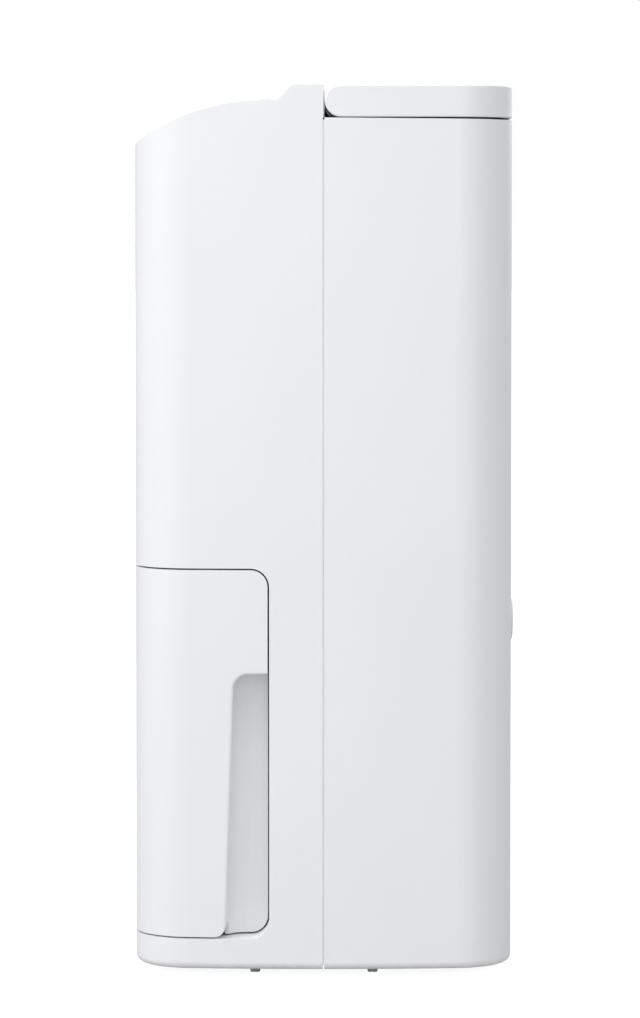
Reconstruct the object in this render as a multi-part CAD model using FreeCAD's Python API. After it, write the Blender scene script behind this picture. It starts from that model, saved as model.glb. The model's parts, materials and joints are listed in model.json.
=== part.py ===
"""A slim compressor dehumidifier on sideways casters: one STEP file for each piece, in millimetres.

+Z is up, the front faces -Y, X is the width, and the origin is on the floor under the middle of the casing.
"""

import FreeCAD, Part
import math
import os

V = FreeCAD.Vector

# Casing
width = 300.0
depth = 213.0
height = 500.0
floor_gap = 4.0
wall = 2.4
corner_radius = 33.0
side_bulge = 3.0
bottom_radius = 4.0
seam_gap = 0.8
seam_depth = 0.5
front_y = -depth / 2
rear_y = depth / 2

# Top of the front casing: an arc that falls to the front, then a ridge that shields the louver
brow_y = -33.0
brow_z = 366.0
brow_radius = 125.4
brow_end_y = -27.0
notch_y = -25.7
notch_z = 491.3
ridge_y = -17.3
ridge_back = -0.1
lip_half_x = 141.0
lip_back = 0.5
lip_top_z = 497.0

# Louver on the rear half of the top, hinged inside its full-round front end
louver_radius = 8.9
hinge_y = 9.6
hinge_z = height - louver_radius
louver_skin = 1.8
deck_front_z = 481.8
deck_rear_z = 481.0
ear_x = 98.0
ear_width = 6.0
pin_radius = 2.0
running_gap = 0.05
gear_module = 0.8
louver_teeth = 16
pinion_teeth = 14
gear_x = 85.0
gear_width = 5.0
motor_shaft_radius = 1.9
outlet_half_x = 118.0
outlet_front_y = 26.0
outlet_rear_y = 99.0

# Control panel, laid on the arc
panel_front_y = -98.4
panel_rear_y = -30.0
panel_half_x = 128.0
panel_proud = 1.6
button_y = -68.0
button_radius = 7.0
button_pitch = 34.0
button_travel = 1.0
button_names = ("power_button", "mode_button", "laundry_button", "timer_button", "louver_button")

# Tank, drawn out to the front
tank_back_y = -31.4
tank_low_z = 22.2
tank_high_z = 229.0
tank_gap = 0.9
tank_corner = 9.5
skin = 2.2
grip_top_z = 170.4
grip_front_top_y = -50.2
grip_front_low_y = -54.9
grip_floor_x = 130.0
grip_corner = 8.6
grip_blend = 7.0
grip_scoop = 12.0
grip_rim = 1.4
cover_corner = 6.7
cover_corner_x = 136.0
bucket_half_x = 123.0
bucket_front_y = -103.3
bucket_back_y = -14.0
bucket_low_z = 26.0
bucket_high_z = 203.0
bucket_wall = 2.0
bay_top_z = 231.0
float_x = -62.0

# Casters roll sideways, so their axles lie along Y
caster_x = 132.0
caster_ys = {"front": -38.6, "rear": 27.7}
caster_radius = 8.5
caster_width = 5.6
caster_room = 1.3
axle_radius = 1.5
glide_x = 92.0
glide_y = 80.0

# Air path: in through the back, over the coils, into the fan and out of the top
intake_half_x = 108.0
intake_low_z = 238.0
intake_high_z = 450.0
fan_z = 338.0
impeller_radius = 70.0
fan_front_y = -66.0
fan_rear_y = -7.0
coil_half_x = 100.0
coil_low_z = 246.0
coil_high_z = 436.0
coil_passes = 8
coil_tube_radius = 3.5
evaporator_y = 84.0
condenser_y = 56.0
coil_depth = 20.0
fin_count = 28
fin_thickness = 0.6

# Lower rear: compressor and electronics
compressor_x = -56.0
compressor_y = 50.0
compressor_radius = 46.0
compressor_low_z = 30.0
compressor_high_z = 178.0
drier_x = -134.0
drier_y = 30.0
drain_x = 60.0
drain_z = 194.0
drain_cap_radius = 12.9
drain_cap_proud = 3.2
screw_x = 130.0
screw_heights = (250.0, 340.0, 440.0)
gland_x = -96.0
gland_z = 46.0
lead_radius = 3.6

# Worked out from the sizes above
half_flat = depth / 2 - corner_radius
side_radius = (half_flat ** 2 + side_bulge ** 2) / (2 * side_bulge)
side_centre = width / 2 - side_radius
corner_x = side_centre + math.sqrt((side_radius - corner_radius) ** 2 - half_flat ** 2)
corner_tilt = math.atan2(half_flat, corner_x - side_centre)
seam = seam_gap / 2


# Building blocks

def box(x0, x1, y0, y1, z0, z1):
    return Part.makeBox(x1 - x0, y1 - y0, z1 - z0, V(x0, y0, z0))


def rod(radius, start, end):
    return Part.makeCylinder(radius, (end - start).Length, start, end - start)


def ring(outer, inner, start, end):
    return rod(outer, start, end).cut(rod(inner, start, end))


def fuse(first, *others):
    return first.multiFuse(list(others)).removeSplitter()


def cut(shape, *tools):
    for tool in tools:
        shape = shape.cut(tool)
    return shape


def mirrored(shape):
    return shape.mirror(V(0, 0, 0), V(1, 0, 0))


def both_sides(shape):
    return [shape, mirrored(shape)]


def moved(shape, x=0.0, y=0.0, z=0.0):
    copy = shape.copy()
    copy.translate(V(x, y, z))
    return copy


def tilted(shape, degrees, centre):
    """The shape turned about an axis along X through centre."""
    copy = shape.copy()
    copy.rotate(centre, V(1, 0, 0), degrees)
    return copy


def rounded(shape, radius, *points):
    """The shape with the edges that pass through the points rounded."""
    edges = []
    for edge in shape.Edges:
        if any(edge.distToShape(Part.Vertex(point))[0] < 0.05 for point in points):
            edges.append(edge)
    return shape.makeFillet(radius, edges)


def rounded_upright(shape, radius):
    """The shape with its vertical edges rounded."""
    edges = [edge for edge in shape.Edges if abs(edge.tangentAt(edge.FirstParameter).z) > 0.999]
    return shape.makeFillet(radius, edges)


def side_prism(edges, x0, x1):
    """A face drawn in the YZ plane by its edges, stretched from x0 to x1."""
    prism = Part.Face(Part.Wire(edges)).extrude(V(x1 - x0, 0, 0))
    prism.translate(V(x0, 0, 0))
    return prism


def side_line(a, b):
    return Part.LineSegment(V(0, *a), V(0, *b)).toShape()


def side_arc(a, middle, b):
    return Part.Arc(V(0, *a), V(0, *middle), V(0, *b)).toShape()


def side_polygon(points, x0, x1):
    edges = [side_line(a, b) for a, b in zip(points, points[1:] + points[:1])]
    return side_prism(edges, x0, x1)


def plan_prism(inset, z0, z1):
    """The casing's outline seen from above, stepped in by inset and stretched from z0 to z1."""
    half = depth / 2 - inset
    corner = corner_radius - inset

    def corner_point(angle, sx, sy):
        x = corner_x + corner * math.cos(angle)
        y = half_flat + corner * math.sin(angle)
        return V(sx * x, sy * y, z0)

    edges = []
    for sx in (1, -1):
        middle = V(sx * (side_centre + side_radius - inset), 0, z0)
        ends = [corner_point(corner_tilt, sx, sy) for sy in (-1, 1)]
        edges.append(Part.Arc(ends[0], middle, ends[1]).toShape())
        for sy in (-1, 1):
            angles = (corner_tilt, (corner_tilt + math.pi / 2) / 2, math.pi / 2)
            edges.append(Part.Arc(*[corner_point(a, sx, sy) for a in angles]).toShape())
    for sy in (-1, 1):
        edges.append(Part.LineSegment(V(-corner_x, sy * half, z0), V(corner_x, sy * half, z0)).toShape())
    outline = Part.Wire(Part.__sortEdges__(edges))
    return Part.Face(outline).extrude(V(0, 0, z1 - z0))


def pipe(points, radius, bend):
    """A pipe of straight runs joined by tangent arcs of one bend radius."""
    edges = []
    last = points[0]
    for before, corner, after in zip(points, points[1:], points[2:]):
        inward = (before - corner).normalize()
        outward = (after - corner).normalize()
        half_turn = inward.getAngle(outward) / 2
        reach = bend / math.tan(half_turn)
        start = corner + inward * reach
        end = corner + outward * reach
        centre = corner + (inward + outward).normalize() * (bend / math.sin(half_turn))
        middle = centre + (corner - centre).normalize() * bend
        edges.append(Part.LineSegment(last, start).toShape())
        edges.append(Part.Arc(start, middle, end).toShape())
        last = end
    edges.append(Part.LineSegment(last, points[-1]).toShape())
    path = Part.Wire(edges)
    circle = Part.Circle(points[0], points[1] - points[0], radius)
    return path.makePipeShell([Part.Wire(circle.toShape())], True, True)


def save(node, *solids):
    """Writes one node, whose solids stay separate."""
    pieces = [solid for shape in solids for solid in shape.Solids]
    shape = pieces[0] if len(pieces) == 1 else Part.makeCompound(pieces)
    if not shape.isValid() or min(piece.Volume for piece in pieces) <= 0:
        raise ValueError("bad shape in " + node)
    shape.exportStep("parts/" + node + ".step")


# Casings

def brow_height(y, inset=0.0):
    """Height of the front casing's arched top at depth y."""
    return brow_z + math.sqrt((brow_radius - inset) ** 2 - (y - brow_y) ** 2)


def front_profile(inset, back, low):
    """Side view of the front half, stepped in by inset."""
    front = front_y + inset
    front_top = (front, brow_height(front, inset))
    middle_y = (front + brow_end_y) / 2
    crest = (brow_end_y, brow_height(brow_end_y, inset))
    shift = 0.5 * inset
    notch = (notch_y + shift, notch_z - inset)
    ridge = (ridge_y + shift, height - inset)
    edges = [
        side_line((front, low), front_top),
        side_arc(front_top, (middle_y, brow_height(middle_y, inset)), crest),
        side_line(crest, notch),
        side_line(notch, ridge),
        side_line(ridge, (back, height - inset)),
        side_line((back, height - inset), (back, low)),
        side_line((back, low), (front, low)),
    ]
    return side_prism(edges, -width, width)


def tank_opening(extra):
    """The side view of the tank cover, grown by extra all round and running out of the front."""
    y1 = tank_back_y + extra
    block = box(-width, width, -depth, y1, tank_low_z - extra, tank_high_z + extra)
    corners = [V(0, y1, tank_low_z - extra), V(0, y1, tank_high_z + extra)]
    return rounded(block, tank_corner + extra, *corners)


def outer_front():
    profile = front_profile(0.0, ridge_back, floor_gap)
    profile = rounded(profile, 4.5, V(0, front_y, brow_height(front_y)))
    profile = rounded(profile, 2.6, V(0, notch_y, notch_z))
    profile = rounded(profile, 2.2, V(0, ridge_y, height))
    solid = plan_prism(0.0, floor_gap, height).common(profile)
    solid = solid.cut(box(-width, width, -seam, 0, floor_gap, deck_front_z))
    return rounded(solid, bottom_radius, *bottom_points(-1))


def bottom_points(half):
    """A point on each bottom edge of one half of the casing: -1 for the front half, 1 for the rear."""
    angle = (corner_tilt + math.pi / 2) / 2
    x = corner_x + corner_radius * math.cos(angle)
    y = half_flat + corner_radius * math.sin(angle)
    side_y = half_flat / 2
    side_x = side_centre + math.sqrt(side_radius ** 2 - side_y ** 2)
    points = [V(0, half * depth / 2, floor_gap)]
    for sx in (1, -1):
        points.append(V(sx * x, half * y, floor_gap))
        points.append(V(sx * side_x, half * side_y, floor_gap))
    return points


def caster_windows():
    """Openings in the casings' bottom flanges for the wheels."""
    windows = []
    for x in (-caster_x, caster_x):
        for y in caster_ys.values():
            half = caster_radius + caster_room
            windows.append(box(x - half, x + half, y - 3.4, y + 3.4, 0, 10))
    return windows


def bay_corners():
    """The return wall that follows the rounded lower corners of the tank's opening."""
    sill_z = tank_low_z - tank_gap
    corner_y = tank_back_y + tank_gap
    band = tank_opening(tank_gap + 1.8).cut(tank_opening(tank_gap))
    band = band.common(box(-width, width, corner_y - 12, corner_y + 1.8, sill_z - 1.8, sill_z + 12))
    return band.common(plan_prism(1.5, 0, height)).cut(plan_prism(26.0, 0, height))


def front_casing():
    deck = deck_front_z - wall
    hollow = plan_prism(wall, floor_gap + wall, height).common(front_profile(wall, ridge_back - wall, floor_gap))
    hollow = fuse(hollow, plan_prism(wall, floor_gap + wall, deck).common(
        box(-width, width, -wall - 1, 1, floor_gap, deck)))
    floor_hole = plan_prism(14.0, 0, 20).common(box(-width, width, -depth, 1, 0, 20))
    panel_hole = box(-panel_half_x + 6, panel_half_x - 6, panel_front_y + 6, panel_rear_y - 5, 465, 497)
    panel_hole = rounded_upright(panel_hole, 8.0)
    shell = cut(outer_front(), hollow, floor_hole, tank_opening(tank_gap), panel_hole, *caster_windows())
    sill_z = tank_low_z - tank_gap
    sill = plan_prism(1.5, sill_z - 1.8, sill_z).cut(plan_prism(26.0, 0, height))
    sill = sill.common(box(-width, width, -depth, tank_back_y + 6, 0, height))
    jamb_y = tank_back_y + tank_gap
    lip = box(-lip_half_x, lip_half_x, ridge_back - 0.4, lip_back, deck_front_z + 0.3, lip_top_z)
    posts = [lip, sill, bay_corners()] + both_sides(box(127, 148.2, jamb_y, jamb_y + 1.8, sill_z - 1, bay_top_z - 0.5))
    bores = []
    for z in screw_heights:
        ends = V(screw_x, -12, z), V(screw_x, -5.0, z)
        posts += both_sides(rod(4.0, *ends).fuse(box(screw_x, 148.5, -12, -5.0, z - 1.2, z + 1.2)))
        bores += both_sides(rod(1.4, *ends))
    return cut(fuse(shell, *posts), *bores)


def rear_profile(inset, low):
    points = [
        (seam, low),
        (seam, deck_front_z - inset),
        (rear_y - inset, deck_rear_z - inset),
        (rear_y - inset, low),
    ]
    return side_polygon(points, -width, width)


def tongue():
    """The lip of the rear casing that closes the seam from inside, and the rib that makes the seam shallow."""
    lip = plan_prism(wall + 0.3, 10.6, deck_rear_z - 4)
    lip = lip.cut(plan_prism(wall + 1.9, floor_gap, height))
    step = plan_prism(wall - 0.2, 10.6, deck_rear_z - 4)
    step = step.cut(plan_prism(wall + 1.9, floor_gap, height))
    rib = plan_prism(seam_depth, floor_gap + 2.6, deck_rear_z - 0.4)
    rib = rib.cut(plan_prism(wall + 0.2, floor_gap, height))
    lip = lip.common(box(-width, width, -4.5, 4.0, 0, height))
    step = step.common(box(-width, width, 1.0, 4.0, 0, height))
    rib = rib.common(box(-width, width, 0.1 - seam, 1.2, 0, height))
    return fuse(lip, step, rib)


def hinge_ears():
    """The two posts that carry the louver's pins."""
    ears = []
    for x in (-ear_x, ear_x):
        post = fuse(
            rod(6.0, V(x - ear_width / 2, hinge_y, hinge_z), V(x + ear_width / 2, hinge_y, hinge_z)),
            box(x - ear_width / 2, x + ear_width / 2, hinge_y - 6, hinge_y + 6, 478.5, hinge_z),
        )
        bore = rod(pin_radius + running_gap, V(x - 10, hinge_y, hinge_z), V(x + 10, hinge_y, hinge_z))
        ears.append(post.cut(bore))
    return ears


def rear_casing():
    outer = plan_prism(0.0, floor_gap, height).common(rear_profile(0.0, floor_gap))
    outer = rounded(outer, bottom_radius, *bottom_points(1))
    hollow = plan_prism(wall, floor_gap + wall, height).common(rear_profile(wall, floor_gap + wall))
    hollow = hollow.fuse(plan_prism(wall, floor_gap + wall, deck_rear_z - wall - 0.4).common(
        box(-width, width, seam - 1, seam + 2, floor_gap, height)))
    floor_hole = plan_prism(14.0, 0, 20).common(box(-width, width, -1, depth, 0, 20))
    outlet = box(-outlet_half_x, outlet_half_x, outlet_front_y, outlet_rear_y, 470, 490)
    outlet = rounded_upright(outlet, 6.0)
    intake = box(-intake_half_x, intake_half_x, 100, 110, intake_low_z, intake_high_z)
    intake = rounded(intake, 6.0, *[V(x, 105, z) for x in (-intake_half_x, intake_half_x)
                                    for z in (intake_low_z, intake_high_z)])
    spout_hole = rod(9.3, V(drain_x, 95, drain_z), V(drain_x, 110, drain_z))
    cap_seat = rod(drain_cap_radius + 0.4, V(drain_x, rear_y - 1.0, drain_z), V(drain_x, 110, drain_z))
    gland_hole = rod(6.5, V(gland_x, 95, gland_z), V(gland_x, 110, gland_z))
    pinion_slot = box(gear_x - 11, gear_x + 4, hinge_y - 8.5, hinge_y + 8.5, 470, 485)
    shell = cut(outer, hollow, floor_hole, outlet, intake, spout_hole, cap_seat, gland_hole, pinion_slot)
    shell = cut(shell, *caster_windows())
    tabs = []
    for z in screw_heights:
        tab = box(screw_x - 5, 146.5, -4.9, -2.9, z - 6, z + 6).cut(rod(1.5, V(screw_x, -6, z), V(screw_x, 0, z)))
        tabs += both_sides(tab)
    return fuse(shell, tongue(), *tabs, *hinge_ears())


def seam_screws():
    """The screws through the rear casing's tabs into the front casing's posts."""
    screws = []
    for z in screw_heights:
        head = rod(2.8, V(screw_x, -2.8, z), V(screw_x, -0.8, z))
        screws += both_sides(head.fuse(rod(1.25, V(screw_x, -10.5, z), V(screw_x, -2.7, z))))
    return screws


def base_pan():
    plug = plan_prism(14.5, floor_gap + 0.8, floor_gap + wall + 0.3)
    top = floor_gap + wall + 2.6
    housing_top = 2 * caster_radius + 0.6
    plate = plan_prism(wall + 0.4, floor_gap + wall + 0.2, top)
    rim = plan_prism(wall + 2.2, top - 1.0, top + 5.0).cut(plan_prism(wall + 4.0, top - 2.0, top + 6.0))
    parts = [plate, rim]
    tools = []
    for x in (-caster_x, caster_x):
        for y in caster_ys.values():
            half = caster_radius + caster_room
            parts.append(box(x - half - 1.4, x + half + 1.4, y - 6.0, y + 6.0, top - 2.0, housing_top + 1.3))
            tools.append(box(x - half, x + half, y - 3.4, y + 3.4, 0, housing_top))
            tools.append(rod(axle_radius + 0.02, V(x, y - 5.0, caster_radius), V(x, y + 5.0, caster_radius)))
    for x in (compressor_x - 38, compressor_x + 38):
        for y in (compressor_y - 38, compressor_y + 38):
            parts.append(ring(7.0, 2.5, V(x, y, top - 1.0), V(x, y, 18.0)))
    return cut(fuse(plug, *parts), *tools)


def caster_wheel(x, y):
    ends = V(x, y - caster_width / 2, caster_radius), V(x, y + caster_width / 2, caster_radius)
    wheel = rod(caster_radius, *ends)
    rims = [edge for edge in wheel.Edges if edge.Closed]
    return wheel.makeFillet(0.8, rims).cut(rod(axle_radius + running_gap, *ends))


def caster_axles():
    axles = []
    for x in (-caster_x, caster_x):
        for y in caster_ys.values():
            axles.append(rod(axle_radius, V(x, y - 4.9, caster_radius), V(x, y + 4.9, caster_radius)))
    return axles


def glide_feet():
    feet = []
    for x in (-glide_x, glide_x):
        for y in (-glide_y, glide_y):
            feet.append(rod(9.0, V(x, y, 0), V(x, y, floor_gap + 0.7)))
    return feet


# Louver

def louver_cover():
    """The flap's outer shell: full-round hinge end, square free end, open underneath."""
    low = height - 2 * louver_radius
    round_end = rod(louver_radius, V(-width, hinge_y, hinge_z), V(width, hinge_y, hinge_z))
    slab = box(-width, width, hinge_y, depth, low, height)
    outer = plan_prism(0.0, low, height).common(fuse(round_end, slab))
    top_edges = [edge for edge in outer.Edges if edge.BoundBox.ZMin > height - 0.01]
    low_edges = [edge for edge in outer.Edges if edge.BoundBox.ZMax < low + 0.01]
    outer = outer.makeFillet(0.8, [edge for edge in top_edges + low_edges if edge.BoundBox.YMax > hinge_y + 1])
    core = rod(louver_radius - louver_skin, V(-width, hinge_y, hinge_z), V(width, hinge_y, hinge_z))
    inner_slab = box(-width, width, hinge_y, depth, low - 1, height - louver_skin)
    inner = plan_prism(louver_skin, low - 1, height - louver_skin).common(fuse(core, inner_slab))
    shell = outer.cut(inner)
    slots = []
    for x0, x1 in ((-ear_x - 5, -ear_x + 5), (gear_x - 11, ear_x + 5)):
        slots.append(box(x0, x1, hinge_y - 10, hinge_y + 8, low - 1, hinge_z + 6.4))
    ribs = []
    for x in (-ear_x - 7, -ear_x + 7, ear_x + 7):
        ribs.append(box(x - 1.2, x + 1.2, hinge_y - 5, 100, hinge_z - 6.2, height - 1))
    ribs.append(box(ear_x - 5.4, ear_x - 3.6, hinge_y + 4, 100, hinge_z - 6.2, height - 1))
    bore = rod(pin_radius + 0.01, V(-width, hinge_y, hinge_z), V(width, hinge_y, hinge_z))
    ribs = [rib.common(plan_prism(1.0, low, height)).common(outer).cut(bore) for rib in ribs]
    return fuse(cut(shell, *slots), *ribs)


def louver_inner_panel():
    low = height - 2 * louver_radius
    panel = plan_prism(louver_skin + 0.3, low + 0.4, low + 2.0)
    panel = panel.common(box(-width, width, hinge_y + 9.0, depth, 0, height))
    bosses = []
    for x in (-60, -20, 20, 60):
        bosses.append(box(x - 0.8, x + 0.8, hinge_y + 14, 96, low + 1.8, low + 7.0))
    return fuse(panel, *bosses)


def louver_hinge_pins():
    left = rod(pin_radius, V(-ear_x - 8.2, hinge_y, hinge_z), V(-ear_x + 8.2, hinge_y, hinge_z))
    right = rod(pin_radius, V(gear_x - gear_width / 2, hinge_y, hinge_z), V(ear_x + 8.2, hinge_y, hinge_z))
    return [left, right]


def spur_gear(teeth, bore, x0, x1, centre_y, centre_z, first_angle):
    """A gear about an axis along X whose first tooth points at first_angle, with slim teeth that keep backlash."""
    pitch = gear_module * teeth / 2
    root = pitch - 1.15 * gear_module
    shape = rod(root, V(x0, 0, 0), V(x1, 0, 0))
    tip = pitch + 0.7 * gear_module
    half_root, half_pitch, half_tip = (share * gear_module for share in (0.85, 0.55, 0.25))
    tooth = side_polygon([(root - 0.5, -half_root), (root - 0.5, half_root), (pitch, half_pitch), (tip, half_tip),
                          (tip, -half_tip), (pitch, -half_pitch)], x0, x1)
    turned = []
    for index in range(teeth):
        copy = tooth.copy()
        copy.rotate(V(0, 0, 0), V(1, 0, 0), first_angle + 360.0 * index / teeth)
        turned.append(copy)
    gear = fuse(shape, *turned).cut(rod(bore, V(x0, 0, 0), V(x1, 0, 0)))
    return moved(gear, 0, centre_y, centre_z)


pinion_z = hinge_z - gear_module * (louver_teeth + pinion_teeth) / 2


def louver_gear():
    step = 360.0 / louver_teeth
    gear_x0 = gear_x - gear_width / 2
    gear = spur_gear(louver_teeth, pin_radius + 0.01, gear_x0, gear_x0 + gear_width,
                     hinge_y, hinge_z, -90 + step / 2)
    web = ring(4.5, pin_radius + 0.01, V(gear_x0 + gear_width, hinge_y, hinge_z), V(ear_x - 5.4, hinge_y, hinge_z))
    return fuse(gear, web)


def louver_pinion():
    """The pinion with the motor's shaft pressed through it."""
    x0 = gear_x - gear_width / 2
    gear = spur_gear(pinion_teeth, 1.5, x0, x0 + gear_width, hinge_y, pinion_z, 90.0)
    shaft = rod(motor_shaft_radius, V(gear_x - 9.5, hinge_y, pinion_z), V(x0 + gear_width, hinge_y, pinion_z))
    return fuse(gear, shaft)


def louver_motor():
    can_z = pinion_z - 9.8
    can = rod(9.0, V(gear_x - 26, hinge_y, can_z), V(gear_x - 8, hinge_y, can_z))
    nose = rod(3.4, V(gear_x - 10, hinge_y, pinion_z), V(gear_x - 3.2, hinge_y, pinion_z))
    plate = box(gear_x - 10, gear_x - 8, hinge_y - 3.4, hinge_y + 3.4, can_z, pinion_z)
    bore = rod(motor_shaft_radius + running_gap, V(gear_x - 9.8, hinge_y, pinion_z), V(gear_x, hinge_y, pinion_z))
    return fuse(can, nose, plate).cut(bore)


def outlet_grille():
    frame = box(-outlet_half_x + 0.4, outlet_half_x - 0.4, outlet_front_y + 0.4, outlet_rear_y - 0.4, 474.9, 480.5)
    frame = rounded_upright(frame, 5.5)
    tools = []
    columns = 6
    rows = 9
    step_x = (2 * outlet_half_x - 8) / columns
    step_y = (outlet_rear_y - outlet_front_y - 6) / rows
    for i in range(columns):
        for j in range(rows):
            x = -outlet_half_x + 4 + i * step_x
            y = outlet_front_y + 3 + j * step_y
            tools.append(box(x + 1.5, x + step_x - 1.5, y + 1.1, y + step_y - 1.1, 470, 485))
    return frame.cut(Part.makeCompound(tools))


# Control panel

def panel_profile(low, high, y0, y1):
    """Side view of a curved sheet that follows the brow between two heights above it."""
    lower = brow_radius + low
    upper = brow_radius + high

    def point(radius, y):
        return (y, brow_z + math.sqrt(radius ** 2 - (y - brow_y) ** 2))

    middle = (y0 + y1) / 2
    edges = [
        side_arc(point(lower, y0), point(lower, middle), point(lower, y1)),
        side_line(point(lower, y1), point(upper, y1)),
        side_arc(point(upper, y1), point(upper, middle), point(upper, y0)),
        side_line(point(upper, y0), point(lower, y0)),
    ]
    return side_prism(edges, -width, width)


button_z = brow_height(button_y)
button_normal = V(0, button_y - brow_y, button_z - brow_z).normalize()
button_origin = V(0, button_y, button_z)


def on_panel(x, rise):
    """A point above the button row, rise millimetres along the surface's normal."""
    return V(x, 0, 0) + button_origin + button_normal * rise


def button_xs():
    middle = (len(button_names) - 1) / 2
    return [button_pitch * (index - middle) for index in range(len(button_names))]


def control_panel():
    plan = box(-panel_half_x, panel_half_x, panel_front_y, panel_rear_y, 460, 500)
    plan = rounded_upright(plan, 7.0)
    plate = panel_profile(0.1, panel_proud, panel_front_y - 0.2, panel_rear_y + 0.2).common(plan)
    inset_plan = box(-panel_half_x + 6.4, panel_half_x - 6.4, panel_front_y + 6.4, panel_rear_y - 5.4, 460, 500)
    inset_plan = rounded_upright(inset_plan, 7.6)
    lower = panel_profile(-2.2, 0.3, panel_front_y + 6, panel_rear_y - 5).common(inset_plan)
    holes = []
    for x in button_xs():
        holes.append(rod(button_radius + 0.35, on_panel(x, -6), on_panel(x, 6)))
    window = box(-34, 34, -54, -40, 480, 500)
    return cut(fuse(plate, lower), window, *holes)


def display_window():
    pane = box(-33.7, 33.7, -53.7, -40.3, 480, 500)
    return panel_profile(-1.6, panel_proud - 0.2, -60, -35).common(pane)


def push_button(x):
    cap = rod(button_radius, on_panel(x, -2.6), on_panel(x, panel_proud + 0.15))
    stem = rod(2.0, on_panel(x, -6.0), on_panel(x, -2.5))
    centre = on_panel(x, 0)
    rim = [edge for edge in cap.Edges if edge.Closed and (edge.CenterOfMass - centre).dot(button_normal) > 0]
    return fuse(cap.makeFillet(0.5, rim), stem)


def control_pcb():
    """The board lies square to the buttons' travel; its switch caps wait just under the stems."""
    angle = -math.degrees(math.atan2(button_normal.y, button_normal.z))
    board = box(-100, 100, button_y - 13, button_y + 13, button_z - 12.6, button_z - 11)
    switches = []
    for x in button_xs():
        switches.append(box(x - 3, x + 3, button_y - 3, button_y + 3, button_z - 11.1, button_z - 8.4))
        switches.append(rod(1.6, V(x, button_y, button_z - 8.5), V(x, button_y, button_z - 7.3)))
    return tilted(fuse(board, *switches), angle, button_origin)


# Back

def rear_grille():
    gap = 0.5
    plate = box(-intake_half_x + gap, intake_half_x - gap, 103.9, rear_y, intake_low_z + gap, intake_high_z - gap)
    plate = rounded(plate, 5.5, *[V(x, 105, z) for x in (-intake_half_x + gap, intake_half_x - gap)
                                  for z in (intake_low_z + gap, intake_high_z - gap)])
    tools = []
    columns = 4
    rows = 24
    step_x = (2 * intake_half_x - 16) / columns
    step_z = (intake_high_z - intake_low_z - 16) / rows
    for i in range(columns):
        for j in range(rows):
            x = -intake_half_x + 8 + i * step_x
            z = intake_low_z + 8 + j * step_z
            tools.append(box(x + 2, x + step_x - 2, 100, 110, z + 2.1, z + step_z - 2.1))
    return plate.cut(Part.makeCompound(tools))


def air_filter():
    """A frame with a coarse moulded lattice that holds the mesh."""
    outer = box(-104, 104, 100.4, 103.6, 242, 446)
    inner = box(-100, 100, 100, 104, 246, 442)
    bars = [box(-101, 101, 101.4, 102.8, 262.5 + 22 * n, 264.5 + 22 * n) for n in range(8)]
    bars += [box(-61 + 40 * n, -59 + 40 * n, 101.4, 102.8, 245, 443) for n in range(4)]
    mesh = box(-101, 101, 101.9, 102.3, 245, 443)
    return fuse(outer.cut(inner), mesh, *bars)


def drain_spout():
    spout = rod(7.5, V(drain_x, 76, drain_z), V(drain_x, 104.6, drain_z))
    flange = rod(12.0, V(drain_x, 101.4, drain_z), V(drain_x, 103.9, drain_z))
    bore = rod(5.4, V(drain_x, 78, drain_z), V(drain_x, 110, drain_z))
    inlet = rod(4.5, V(drain_x, 84, drain_z), V(drain_x, 84, drain_z + 9))
    return fuse(spout, flange).cut(bore).cut(inlet)


def drain_cap():
    face_y = rear_y + drain_cap_proud
    head = rod(drain_cap_radius, V(drain_x, rear_y - 0.9, drain_z), V(drain_x, face_y, drain_z))
    rim = [edge for edge in head.Edges if edge.Closed and edge.BoundBox.YMin > face_y - 0.01]
    plug = ring(5.0, 3.4, V(drain_x, 92, drain_z), V(drain_x, rear_y - 0.5, drain_z))
    return fuse(head.makeFillet(2.4, rim), plug)


def cord_gland():
    body = rod(6.3, V(gland_x, 98, gland_z), V(gland_x, 108.0, gland_z))
    inner_flange = rod(9.0, V(gland_x, 98, gland_z), V(gland_x, 103.8, gland_z))
    outer_flange = rod(9.0, V(gland_x, rear_y + 0.1, gland_z), V(gland_x, 108.0, gland_z))
    lead_bore = rod(lead_radius, V(gland_x, 90, gland_z), V(gland_x, 120, gland_z))
    return fuse(body, inner_flange, outer_flange).cut(lead_bore)


# Tank

def grip_tool(grow):
    """The finger recess, slanted in front and scooped at its floor; grow makes room for its walls."""
    lean = (grip_front_low_y - grip_front_top_y) / (grip_top_z - tank_low_z)
    top = grip_top_z + grow
    low = tank_low_z - 12
    top_y = grip_front_top_y - grow
    low_y = top_y + lean * (top - low)
    floor_x = grip_floor_x - grow
    block = side_polygon([(top_y, top), (10.0, top), (10.0, low), (low_y, low)], floor_x, width)
    block = rounded(block, grip_corner + grow, V(width / 2, top_y, top))
    slant = V(floor_x, (top_y + low_y) / 2, (top + low) / 2)
    block = rounded(block, grip_blend + grow, slant, V(floor_x, -20.0, top))
    scoop = grip_scoop + grow
    edge = side_polygon([(top_y - 1, top + 1), (top_y + scoop, top + 1), (low_y + scoop, low - 1),
                         (low_y - 1, low - 1)], floor_x - 1, floor_x + scoop)
    extra = V(0, -lean, 1) * 4
    inner = rod(scoop, V(floor_x + scoop, low_y + scoop, low) - extra, V(floor_x + scoop, top_y + scoop, top) + extra)
    return block.cut(edge.cut(inner))


def side_x(y):
    """Half the casing's width at depth y, on its bowed side."""
    return side_centre + math.sqrt(side_radius ** 2 - y ** 2)


def grip_rim_places():
    """Depths and heights on the recess's rim: on its slanted front, its corner and its top."""
    lean = (grip_front_low_y - grip_front_top_y) / (grip_top_z - tank_low_z)
    front_z = 100.0
    corner = grip_corner * (1 - math.sqrt(0.5))
    return [
        (grip_front_top_y + lean * (grip_top_z - front_z), front_z),
        (grip_front_top_y + corner, grip_top_z - corner),
        (tank_back_y - 6, grip_top_z),
    ]


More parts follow.
